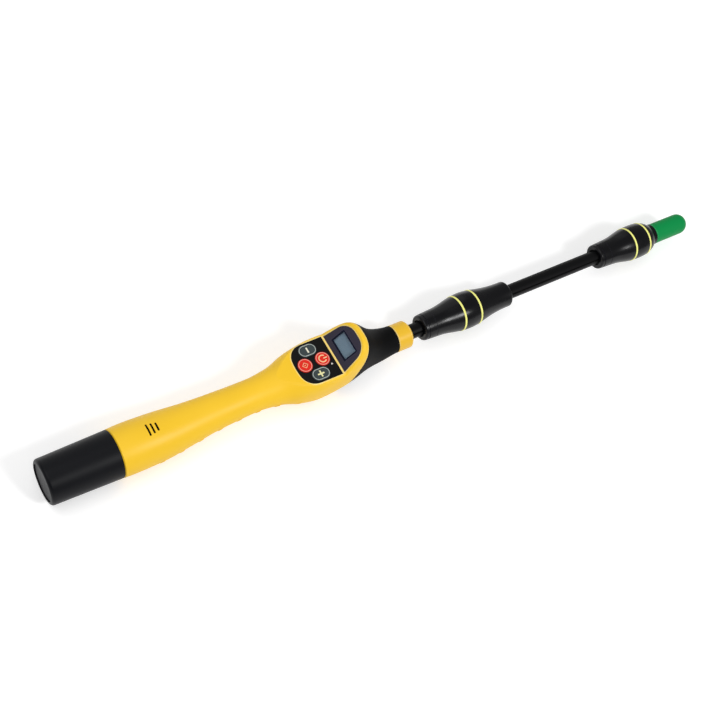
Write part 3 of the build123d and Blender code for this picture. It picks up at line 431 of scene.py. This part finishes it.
def stroke_tree():
    """Node tree that lays a flat solid line along every edge chain of a drawing."""
    tree = bpy.data.node_groups.new("printed_stroke", "GeometryNodeTree")
    sockets(tree, "INPUT", "NodeSocketGeometry", "Drawing")
    sockets(tree, "INPUT", "NodeSocketFloat", "Line Width", "Line Height")
    sockets(tree, "INPUT", "NodeSocketMaterial", "Ink")
    sockets(tree, "OUTPUT", "NodeSocketGeometry", "Print")
    inputs = add(tree, "NodeGroupInput")
    outputs = add(tree, "NodeGroupOutput")
    path = add(tree, "GeometryNodeMeshToCurve")
    level = add(tree, "GeometryNodeSetCurveNormal", mode="Z_UP")
    profile = add(tree, "GeometryNodeCurvePrimitiveQuadrilateral")
    body = add(tree, "GeometryNodeCurveToMesh", {"Fill Caps": True})
    whole = add(tree, "GeometryNodeRealizeInstances")
    inked = add(tree, "GeometryNodeSetMaterial")
    join(tree, inputs, "Drawing", path, "Mesh")
    join(tree, path, "Curve", level, "Curve")
    join(tree, inputs, "Line Width", profile, "Width")
    join(tree, inputs, "Line Height", profile, "Height")
    join(tree, level, "Curve", body, "Curve")
    join(tree, profile, "Curve", body, "Profile Curve")
    join(tree, body, "Mesh", whole, "Geometry")
    join(tree, whole, "Geometry", inked, "Geometry")
    join(tree, inputs, "Ink", inked, "Material")
    join(tree, inked, "Geometry", outputs, "Print")
    return tree


def grown(name, drawing, tree, values):
    """Piece that a node tree makes from a drawing, as a plain mesh with no modifier left on it."""
    maker = placed(name + "_maker", drawing)
    modifier = maker.modifiers.new("maker", "NODES")
    modifier.node_group = tree
    for item in tree.interface.items_tree:
        if item.in_out == "INPUT" and item.name in values:
            modifier[item.identifier] = values[item.name]
    bpy.context.view_layer.update()
    result = maker.evaluated_get(bpy.context.evaluated_depsgraph_get())
    mesh = bpy.data.meshes.new_from_object(result)
    mesh.name = name
    bpy.data.objects.remove(maker)
    shape = bmesh.new()
    shape.from_mesh(mesh)
    closed_up(shape, mesh)
    return placed(name, mesh)


def drawing_of(strokes, height):
    """Edge drawing on a level face, from strokes that are each a list of points and whether it closes."""
    points = []
    edges = []
    for stroke, closed in strokes:
        first = len(points)
        points += [(x, y, height) for x, y in stroke]
        edges += [(first + index, first + index + 1) for index in range(len(stroke) - 1)]
        if closed:
            edges.append((len(points) - 1, first))
    mesh = bpy.data.meshes.new("drawing")
    mesh.from_pydata(points, edges, [])
    return mesh


def ring_stroke(x, y, half_length, half_width):
    """Closed line round a key: a circle, or two half circles joined by straights along the handle."""
    straight = half_length - half_width
    points = []
    for step in range(RING_STEPS):
        angle = 2 * math.pi * (step + 0.5) / RING_STEPS
        shift = math.copysign(straight, math.cos(angle))
        points.append((x + shift + half_width * math.cos(angle), y + half_width * math.sin(angle)))
    return points, True


def bar(x, y, from_x, from_y, to_x, to_y):
    """Straight open line, given from the middle of a key."""
    return [(x + from_x, y + from_y), (x + to_x, y + to_y)], False


def arc_stroke(x, y, radius, gap):
    """Ring that is open toward the front by a gap on each side."""
    angles = [gap + (2 * math.pi - 2 * gap) * step / RING_STEPS for step in range(RING_STEPS + 1)]
    return [(x + radius * math.cos(angle), y + radius * math.sin(angle)) for angle in angles], False


def minus_symbol(x, y):
    """One bar across the handle."""
    return [bar(x, y, 0, -MINUS_REACH, 0, MINUS_REACH)]


def plus_symbol(x, y):
    """A bar across the handle and an arm on each side of it."""
    arms = [bar(x, y, side * BAR_WIDTH / 2, 0, side * PLUS_REACH, 0) for side in (-1, 1)]
    return arms + [bar(x, y, 0, -PLUS_REACH, 0, PLUS_REACH)]


def power_symbol(x, y):
    """An open ring with a bar in its gap."""
    bar_start, bar_end = POWER_BAR
    return [arc_stroke(x, y, POWER_RADIUS, POWER_GAP), bar(x, y, bar_start, 0, bar_end, 0)]


def locate_symbol(x, y):
    """A plain diamond with a dot in its middle."""
    reach = LOCATE_REACH
    points = [(x + reach, y), (x, y + reach), (x - reach, y), (x, y - reach)]
    return [(points, True), bar(x, y, -LOCATE_DOT, 0, LOCATE_DOT, 0)]


key_grey = moulded("key_grey", tint(56, 66, 68), tint(96, 104, 106), 0.52, specular=0.25)
key_red = moulded("key_red", tint(224, 40, 22), tint(236, 92, 70), 0.48, specular=0.25)
line_grey = moulded("line_grey", tint(168, 178, 172), tint(190, 198, 192), 0.5)
line_rose = moulded("line_rose", tint(244, 150, 132), tint(248, 176, 160), 0.5)
symbol_ivory = moulded("symbol_ivory", tint(242, 238, 206), tint(246, 243, 222), 0.5)
symbol_cream = moulded("symbol_cream", tint(236, 230, 156), tint(242, 236, 180), 0.5)
symbol_peach = moulded("symbol_peach", tint(252, 190, 128), tint(253, 208, 160), 0.5)
printed_stroke = stroke_tree()
KEYS = (
    ("minus", key_grey, line_grey, symbol_ivory, minus_symbol, BAR_WIDTH),
    ("plus", key_grey, line_grey, symbol_cream, plus_symbol, BAR_WIDTH),
    ("power", key_red, line_rose, symbol_peach, power_symbol, POWER_WIDTH),
    ("locate", key_red, line_rose, symbol_peach, locate_symbol, LOCATE_WIDTH),
)
for word, rubber, line_ink, symbol_ink, symbol, symbol_width in KEYS:
    dress(rubber, f"{word}_key")
    key_low, key_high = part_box(f"{word}_key")
    key_middle = (key_low + key_high) / 2
    half_length = (key_high.x - key_low.x) / 2 - KEY_FLANGE - LINE_INSET
    half_width = (key_high.y - key_low.y) / 2 - KEY_FLANGE - LINE_INSET
    outline = [ring_stroke(key_middle.x, key_middle.y, half_length, half_width)]
    prints = (
        ("line", outline, LINE_WIDTH, line_ink),
        ("symbol", symbol(key_middle.x, key_middle.y), symbol_width, symbol_ink),
    )
    for kind, strokes, width, ink in prints:
        values = {"Line Width": width, "Line Height": 2 * PRINT_HEIGHT, "Ink": ink}
        key_print = grown(f"{word}_key_{kind}", drawing_of(strokes, key_high.z), printed_stroke, values)
        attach(key_print, f"{word}_button")

# Display: a glossy purple-grey plate bonded into the sloping pocket, with a clear pane let into it.
# The pane's edge is back-printed navy; behind it stands the grey-blue glass of the liquid crystal cell.
DISPLAY_SLOPE = math.radians(48.5)
PANE_LENGTH = 0.0182
PANE_WIDTH = 0.0278
PANE_BORDER = 0.0017
BORDER_SOFTNESS = 0.00005
CELL_DOT = 0.00045
CELL_GAP = 0.06 * CELL_DOT

pane_low, pane_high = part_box("lcd_window")
pane_middle = (pane_low + pane_high) / 2


def display_place(tree):
    """Node whose output runs up the display, across it and out of it, from the middle of the pane."""
    place = add(tree, "ShaderNodeTexCoord")
    middle = {"Location": pane_middle, "Rotation": (0, -DISPLAY_SLOPE, 0)}
    turn = add(tree, "ShaderNodeMapping", middle, vector_type="TEXTURE")
    join(tree, place, "Object", turn, "Vector")
    return turn


def border_mask(tree):
    """Node whose value is 1 on the pane's printed border and 0 in its clear middle."""
    axes = add(tree, "ShaderNodeSeparateXYZ")
    either = add(tree, "ShaderNodeMath", operation="MAXIMUM")
    join(tree, display_place(tree), "Vector", axes, "Vector")
    halves = (("X", PANE_LENGTH / 2 - PANE_BORDER), ("Y", PANE_WIDTH / 2 - PANE_BORDER))
    for index, (axis, half) in enumerate(halves):
        edge = {"From Min": half - BORDER_SOFTNESS, "From Max": half + BORDER_SOFTNESS}
        size = add(tree, "ShaderNodeMath", operation="ABSOLUTE")
        step = add(tree, "ShaderNodeMapRange", edge)
        join(tree, axes, axis, size, 0)
        join(tree, size, "Value", step, "Value")
        join(tree, step, "Result", either, index)
    return either


def display_pane():
    """Clear acrylic with a navy border printed on its back."""
    material, tree, surface = new_finish("display_pane")
    surface.inputs["Base Color"].default_value = tint(9, 12, 38)
    surface.inputs["Specular IOR Level"].default_value = 0.3
    place = add(tree, "ShaderNodeTexCoord")
    cover = add(tree, "ShaderNodeMapRange", {"To Min": 0.10, "To Max": 1.0})
    wipe = add(tree, "ShaderNodeTexNoise", {"Scale": 60.0})
    gloss = add(tree, "ShaderNodeMapRange", {"To Min": 0.08, "To Max": 0.20})
    join(tree, border_mask(tree), "Value", cover, "Value")
    join(tree, cover, "Result", surface, "Alpha")
    join(tree, place, "Object", wipe, "Vector")
    join(tree, wipe, "Fac", gloss, "Value")
    join(tree, gloss, "Result", surface, "Roughness")
    return material


def crystal_cell():
    """Grey-blue cell glass with painted shading that is a little paler toward its lower edge, and a faint
    grid of dots.
    """
    material, tree, surface = new_finish("crystal_cell")
    surface.inputs["Specular IOR Level"].default_value = 0.4
    turn = display_place(tree)
    axes = add(tree, "ShaderNodeSeparateXYZ")
    # Painted shading: the cell glass is made paler toward its lower edge.
    painted_gradient = add(tree, "ShaderNodeMapRange", {"From Min": PANE_LENGTH / 2, "From Max": -PANE_LENGTH / 2})
    ground = two_tone(tree, tint(136, 161, 181), tint(142, 169, 187))
    sizes = {"Scale": 1.0, "Brick Width": CELL_DOT, "Row Height": CELL_DOT, "Mortar Size": CELL_GAP}
    dots = add(tree, "ShaderNodeTexBrick", sizes, offset=0.0)
    dots.inputs["Color1"].default_value = (1, 1, 1, 1)
    dots.inputs["Color2"].default_value = (0.97, 0.97, 0.97, 1)
    dots.inputs["Mortar"].default_value = (0.86, 0.86, 0.86, 1)
    grid = add(tree, "ShaderNodeMix", {"Factor": 1.0}, data_type="RGBA", blend_type="MULTIPLY")
    gloss = add(tree, "ShaderNodeMapRange", {"To Min": 0.16, "To Max": 0.26})
    join(tree, turn, "Vector", axes, "Vector")
    join(tree, axes, "X", painted_gradient, "Value")
    join(tree, painted_gradient, "Result", ground, "Factor")
    join(tree, turn, "Vector", dots, "Vector")
    join(tree, ground, "Result", grid, "A")
    join(tree, dots, "Color", grid, "B")
    join(tree, grid, "Result", surface, "Base Color")
    join(tree, painted_gradient, "Result", gloss, "Value")
    join(tree, gloss, "Result", surface, "Roughness")
    return material


display_plum = moulded("display_plum", tint(50, 46, 62), tint(84, 80, 98), 0.2, drift=24.0, depth=0.01)
dress(display_plum, "display_panel")
dress(display_pane(), "lcd_window")
dress(crystal_cell(), "lcd_module")

# Rod guide: white nylon tube, bush, collet and stop ring that the rod slides and locks in.
# Machined nylon is slightly waxy, with a fine turned grain. The coils' formers are turned from it too.
nylon_white = moulded("nylon_white", tint(226, 224, 214), tint(240, 239, 232), 0.5, drift=30.0)
dress(nylon_white, "guide_tube", "front_bush", "collet", "rod_stop", "coil_former_1", "coil_former_2")

# Lock collar: yellow moulded twist ring on the nose of the neck, which closes the collet on the rod.
# It is the same plastic as the shells, polished a little by the hand that turns it.
# The pale cream colour for its corners is a painted highlight on its edges.
collar_yellow = moulded("collar_yellow", tint(237, 188, 44), tint(255, 238, 180), 0.38,
                        specular=0.35, corner=0.0010)
dress(collar_yellow, "lock_collar")

# Wand rod: pultruded black glass-fibre tube with two keyways, and the cable through its bore.
# The pulled fibres leave fine lines along it under a satin resin skin.
FIBRE_STRETCH = (18, 1600, 1600)


def pulled_fibre():
    """Black resin skin over fibres that run along the rod."""
    material, tree, surface = new_finish("pulled_fibre")
    surface.inputs["Specular IOR Level"].default_value = 0.10
    place = add(tree, "ShaderNodeTexCoord")
    stretch = add(tree, "ShaderNodeMapping", {"Scale": FIBRE_STRETCH})
    fibres = add(tree, "ShaderNodeTexNoise", {"Scale": 1.0, "Detail": 3})
    tone = two_tone(tree, tint(7, 7, 8), tint(17, 17, 18))
    sheen = add(tree, "ShaderNodeMapRange", {"To Min": 0.30, "To Max": 0.44})
    bump = add(tree, "ShaderNodeBump", {"Strength": 0.15, "Distance": 0.0001})
    join(tree, place, "Object", stretch, "Vector")
    join(tree, stretch, "Vector", fibres, "Vector")
    join(tree, fibres, "Fac", tone, "Factor")
    join(tree, tone, "Result", surface, "Base Color")
    join(tree, fibres, "Fac", sheen, "Value")
    join(tree, sheen, "Result", surface, "Roughness")
    join(tree, fibres, "Fac", bump, "Height")
    join(tree, bump, "Normal", surface, "Normal")
    return material


lead_black = moulded("lead_black", tint(26, 26, 27), tint(56, 56, 58), 0.45, swing=0.1)
dress(pulled_fibre(), "wand_rod")
dress(lead_black, "signal_cable", "battery_lead")

# Springy lead: a black curly cable between the contact board and the rod's rear end.
# Its turns pull apart as the wand slides out; here it is built once as a fixed coil in the place of the
# frame's lead, which is hidden.
LEAD_TURNS = 16
LEAD_WIRE_RADIUS = 0.0012
TURN_STEPS = 20
WIRE_SIDES = 10


def curly_lead_tree():
    """Node tree for a round wire wound along the handle."""
    tree = bpy.data.node_groups.new("curly_lead", "GeometryNodeTree")
    sockets(tree, "INPUT", "NodeSocketGeometry", "Seat")
    sockets(tree, "INPUT", "NodeSocketFloat", "Turns", "Coil Radius", "Coil Length", "Wire Radius")
    sockets(tree, "INPUT", "NodeSocketVector", "Start")
    sockets(tree, "INPUT", "NodeSocketMaterial", "Cover")
    sockets(tree, "OUTPUT", "NodeSocketGeometry", "Lead")
    inputs = add(tree, "NodeGroupInput")
    outputs = add(tree, "NodeGroupOutput")
    coil = add(tree, "GeometryNodeCurveSpiral", {"Resolution": TURN_STEPS})
    lay = add(tree, "GeometryNodeTransform", {"Rotation": (0, math.pi / 2, 0)})
    wire = add(tree, "GeometryNodeCurvePrimitiveCircle", {"Resolution": WIRE_SIDES})
    body = add(tree, "GeometryNodeCurveToMesh", {"Fill Caps": True})
    whole = add(tree, "GeometryNodeRealizeInstances")
    covered = add(tree, "GeometryNodeSetMaterial")
    join(tree, inputs, "Turns", coil, "Rotations")
    join(tree, inputs, "Coil Radius", coil, "Start Radius")
    join(tree, inputs, "Coil Radius", coil, "End Radius")
    join(tree, inputs, "Coil Length", coil, "Height")
    join(tree, coil, "Curve", lay, "Geometry")
    join(tree, inputs, "Start", lay, "Translation")
    join(tree, inputs, "Wire Radius", wire, "Radius")
    join(tree, lay, "Geometry", body, "Curve")
    join(tree, wire, "Curve", body, "Profile Curve")
    join(tree, body, "Mesh", whole, "Geometry")
    join(tree, whole, "Geometry", covered, "Geometry")
    join(tree, inputs, "Cover", covered, "Material")
    join(tree, covered, "Geometry", outputs, "Lead")
    return tree


lead_low, lead_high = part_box("coiled_lead")
lead_middle = (lead_low + lead_high) / 2
lead_values = {
    "Turns": float(LEAD_TURNS),
    "Coil Radius": (lead_high.z - lead_low.z) / 2 - LEAD_WIRE_RADIUS,
    "Coil Length": lead_high.x - lead_low.x - 2 * LEAD_WIRE_RADIUS,
    "Wire Radius": LEAD_WIRE_RADIUS,
    "Start": (lead_low.x + LEAD_WIRE_RADIUS, lead_middle.y, lead_middle.z),
    "Cover": lead_black,
}
curly_lead = grown("curly_lead", bpy.data.meshes.new("lead_seat"), curly_lead_tree(), lead_values)
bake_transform(curly_lead)
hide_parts("coiled_lead")

# Coil sleeves: two swelling rubber sleeves on the rod, each in three lengths parted by lemon rings.
# The moulded rubber is semi-gloss and picks up a narrow streak of light; the windings are enamelled copper.


def enamelled_turns():
    """Copper wire in fine turns along the coil, under a clear enamel."""
    material, tree, surface = new_finish("enamelled_turns")
    surface.inputs["Metallic"].default_value = 0.8
    surface.inputs["Coat Weight"].default_value = 0.5
    place = add(tree, "ShaderNodeTexCoord")
    turns = add(tree, "ShaderNodeTexWave", {"Scale": 700.0}, bands_direction="X")
    tone = two_tone(tree, tint(112, 52, 22), tint(202, 112, 58))
    bump = add(tree, "ShaderNodeBump", {"Strength": 0.6, "Distance": 0.0002})
    join(tree, place, "Object", turns, "Vector")
    join(tree, turns, "Fac", tone, "Factor")
    join(tree, tone, "Result", surface, "Base Color")
    join(tree, turns, "Fac", bump, "Height")
    join(tree, bump, "Normal", surface, "Normal")
    return material


sleeve_rubber = moulded("sleeve_rubber", tint(8, 8, 11), tint(36, 36, 42), 0.25,
                        specular=0.23, swing=0.12, depth=0.03)
ring_lemon = moulded("ring_lemon", tint(247, 246, 138), tint(250, 249, 190), 0.42, specular=0.3, drift=60.0)
copper_turns = enamelled_turns()
for number in (1, 2):
    dress(sleeve_rubber, *[f"sleeve_{number}_{length}" for length in ("rear", "band", "front")])
    dress(ring_lemon, *[f"ring_{number}_{end}" for end in ("rear", "front")])
    dress(copper_turns, f"coil_{number}")

# Tip: a green moulded nose pushed onto the rod's front end.
# Plain satin plastic with a rounded end and a low lip where it meets the sleeve.
tip_green = moulded("tip_green", tint(8, 139, 71), tint(96, 190, 136), 0.5, specular=0.12, drift=40.0)
dress(tip_green, "tip")

# Studio: a seamless pale floor under three soft lamps, seen from above the battery end as in the photo.
# The floor takes the shadow and is shown white to the lens, to gloss and through clear pieces.
FLOOR_REACH = 60.0
FLOOR_GREY = (0.86, 0.86, 0.86, 1)
FLOOR_GLOW = 0.36
AIR_LIGHT = 0.34
LENS_LENGTH = 65
SENSOR_WIDTH = 36
CAMERA_RIGHT = Vector((0.83937, -0.49517, 0.22419))
CAMERA_UP = Vector((0.34325, 0.80268, 0.48774))
CAMERA_PLACE = Vector((-0.6239, -0.4545, 1.1638))


def floor_paint():
    """Matt white that glows a little to the lens, to gloss and through clear pieces."""
    material = bpy.data.materials.new("floor_paint")
    material.use_nodes = True
    tree = material.node_tree
    tree.nodes.clear()
    result = add(tree, "ShaderNodeOutputMaterial")
    both = add(tree, "ShaderNodeAddShader")
    matt = add(tree, "ShaderNodeBsdfDiffuse", {"Color": FLOOR_GREY})
    glow = add(tree, "ShaderNodeEmission")
    ray = add(tree, "ShaderNodeLightPath")
    lens_or_gloss = add(tree, "ShaderNodeMath", operation="MAXIMUM")
    any_seen = add(tree, "ShaderNodeMath", operation="MAXIMUM")
    level = add(tree, "ShaderNodeMath", {1: FLOOR_GLOW}, operation="MULTIPLY")
    join(tree, ray, "Is Camera Ray", lens_or_gloss, 0)
    join(tree, ray, "Is Glossy Ray", lens_or_gloss, 1)
    join(tree, lens_or_gloss, "Value", any_seen, 0)
    join(tree, ray, "Is Transmission Ray", any_seen, 1)
    join(tree, any_seen, "Value", level, 0)
    join(tree, level, "Value", glow, "Strength")
    join(tree, matt, "BSDF", both, 0)
    join(tree, glow, "Emission", both, 1)
    join(tree, both, "Shader", result, "Surface")
    return material


floor_mesh = bpy.data.meshes.new("studio_floor")
floor_sides = ((-1, -1), (1, -1), (1, 1), (-1, 1))
floor_corners = [(x * FLOOR_REACH, y * FLOOR_REACH, 0) for x, y in floor_sides]
floor_mesh.from_pydata(floor_corners, [], [(0, 1, 2, 3)])
floor_mesh.materials.append(floor_paint())
floor = placed("studio_floor", floor_mesh)

world = bpy.data.worlds.new("studio_air")
world.use_nodes = True
world.node_tree.nodes["Background"].inputs["Color"].default_value = (1, 1, 1, 1)
world.node_tree.nodes["Background"].inputs["Strength"].default_value = AIR_LIGHT
scene.world = world
scene.view_settings.view_transform = "Standard"


def softbox(name, place, aim, size, power):
    """Square lamp at a place, turned to face a point."""
    lamp = bpy.data.lights.new(name, "AREA")
    lamp.shape = "SQUARE"
    lamp.size = size
    lamp.energy = power
    holder = placed(name, lamp)
    holder.location = place
    holder.rotation_euler = (Vector(aim) - Vector(place)).to_track_quat("-Z", "Y").to_euler()


softbox("softbox_top", place=(-0.9, 0.3, 2.3), aim=(0.0, 0.0, 0.03), size=2.0, power=20)
softbox("softbox_near", place=(0.5, -1.45, 1.6), aim=(0.0, 0.0, 0.03), size=0.5, power=24)
softbox("softbox_far", place=(0.0, 1.7, 1.1), aim=(0.0, 0.0, 0.05), size=2.2, power=7)

lens = bpy.data.cameras.new("photo_lens")
lens.sensor_width = SENSOR_WIDTH
lens.lens = LENS_LENGTH
camera = placed("photo_camera", lens)
camera_back = CAMERA_RIGHT.cross(CAMERA_UP)
camera_matrix = Matrix((CAMERA_RIGHT, CAMERA_UP, camera_back)).transposed().to_4x4()
camera_matrix.translation = CAMERA_PLACE
camera.matrix_world = camera_matrix
scene.camera = camera
